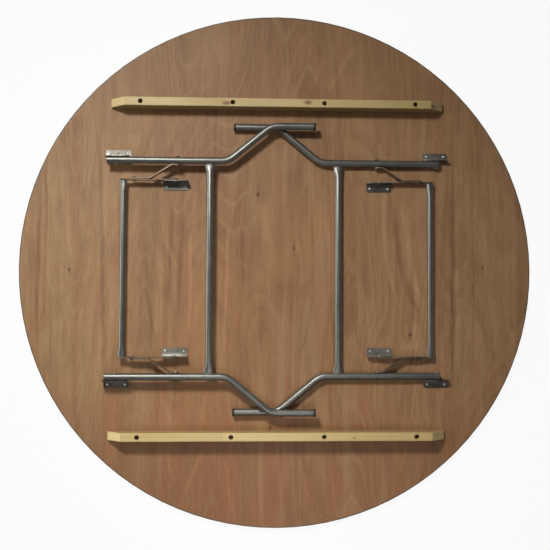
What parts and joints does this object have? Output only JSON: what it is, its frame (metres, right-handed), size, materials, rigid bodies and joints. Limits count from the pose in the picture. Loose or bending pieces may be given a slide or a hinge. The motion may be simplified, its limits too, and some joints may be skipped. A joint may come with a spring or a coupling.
{
  "type": "round folding banquet table",
  "caption": "Round plywood banquet table with folding tubular leg frames on hinge brackets, knee braces with a crossbar handle, and pine battens under the top.",
  "frame": {"origin": "centre of the finished face of the top, which lies on the floor", "axes": "+Z from the finished face to the underside, +X along the folded legs, +Y to the rear batten"},
  "size_m": [1.829, 1.829, 0.0743],
  "materials": {
    "okoume_plywood": "bare veneer, sanded",
    "edge_vinyl": "satin",
    "pine": "planed, bare",
    "grey_paint": "grey metallic paint",
    "zinc_plate": "zinc plated",
    "black_rubber": "matte"
  },
  "bodies": {
    "table": {"table_top": "okoume_plywood", "edge_band": "edge_vinyl", "rear_batten": "pine", "front_batten": "pine", "left_rear_hinge_bracket": "zinc_plate", "left_rear_brace_bracket": "zinc_plate", "left_front_hinge_bracket": "zinc_plate", "left_front_brace_bracket": "zinc_plate", "right_rear_hinge_bracket": "zinc_plate", "right_rear_brace_bracket": "zinc_plate", "right_front_hinge_bracket": "zinc_plate", "right_front_brace_bracket": "zinc_plate"},
    "left_leg": {"left_rear_leg_tube": "grey_paint", "left_rear_foot_cap": "black_rubber", "left_rear_hinge_rivet": "zinc_plate", "left_rear_link_rivet": "zinc_plate", "left_front_leg_tube": "grey_paint", "left_front_foot_cap": "black_rubber", "left_front_hinge_rivet": "zinc_plate", "left_front_link_rivet": "zinc_plate", "left_spreader": "grey_paint"},
    "left_brace": {"left_rear_arm": "zinc_plate", "left_rear_brace_rivet": "zinc_plate", "left_rear_knee_rivet": "zinc_plate", "left_front_arm": "zinc_plate", "left_front_brace_rivet": "zinc_plate", "left_front_knee_rivet": "zinc_plate", "left_crossbar": "grey_paint"},
    "left_leg_links": {"left_rear_link": "zinc_plate", "left_rear_knee_head": "zinc_plate", "left_rear_stop_stud": "zinc_plate", "left_front_link": "zinc_plate", "left_front_knee_head": "zinc_plate", "left_front_stop_stud": "zinc_plate"},
    "right_leg": {"right_rear_leg_tube": "grey_paint", "right_rear_foot_cap": "black_rubber", "right_rear_hinge_rivet": "zinc_plate", "right_rear_link_rivet": "zinc_plate", "right_front_leg_tube": "grey_paint", "right_front_foot_cap": "black_rubber", "right_front_hinge_rivet": "zinc_plate", "right_front_link_rivet": "zinc_plate", "right_spreader": "grey_paint"},
    "right_brace": {"right_rear_arm": "zinc_plate", "right_rear_brace_rivet": "zinc_plate", "right_rear_knee_rivet": "zinc_plate", "right_front_arm": "zinc_plate", "right_front_brace_rivet": "zinc_plate", "right_front_knee_rivet": "zinc_plate", "right_crossbar": "grey_paint"},
    "right_leg_links": {"right_rear_link": "zinc_plate", "right_rear_knee_head": "zinc_plate", "right_rear_stop_stud": "zinc_plate", "right_front_link": "zinc_plate", "right_front_knee_head": "zinc_plate", "right_front_stop_stud": "zinc_plate"}
  },
  "joints": [
    {"name": "left_leg_fold", "type": "hinge", "parent": "table", "child": "left_leg", "pos_m": [-0.568, 0, 0.0607], "axis": [0, -1, 0], "range_deg": [0, 90]},
    {"name": "left_brace_swing", "type": "hinge", "parent": "table", "child": "left_brace", "pos_m": [-0.364, 0, 0.0477], "axis": [0, 1, 0], "range_deg": [0, 47.8]},
    {"name": "left_link_swing", "type": "hinge", "parent": "left_leg", "child": "left_leg_links", "pos_m": [-0.356, 0, 0.0607], "axis": [0, -1, 0], "range_deg": [0, 37.42]},
    {"name": "right_leg_fold", "type": "hinge", "parent": "table", "child": "right_leg", "pos_m": [0.568, 0, 0.0347], "axis": [0, 1, 0], "range_deg": [0, 90]},
    {"name": "right_brace_swing", "type": "hinge", "parent": "table", "child": "right_brace", "pos_m": [0.364, 0, 0.0347], "axis": [0, -1, 0], "range_deg": [0, 46.1]},
    {"name": "right_link_swing", "type": "hinge", "parent": "right_leg", "child": "right_leg_links", "pos_m": [0.356, 0, 0.0347], "axis": [0, 1, 0], "range_deg": [0, 43.9]}
  ],
  "couplings": [
    {"joint": "left_brace_swing", "follows": "left_leg_fold", "ratio": 0.53114},
    {"joint": "left_link_swing", "follows": "left_leg_fold", "ratio": 0.41579},
    {"joint": "right_brace_swing", "follows": "right_leg_fold", "ratio": 0.51224},
    {"joint": "right_link_swing", "follows": "right_leg_fold", "ratio": 0.48776}
  ]
}
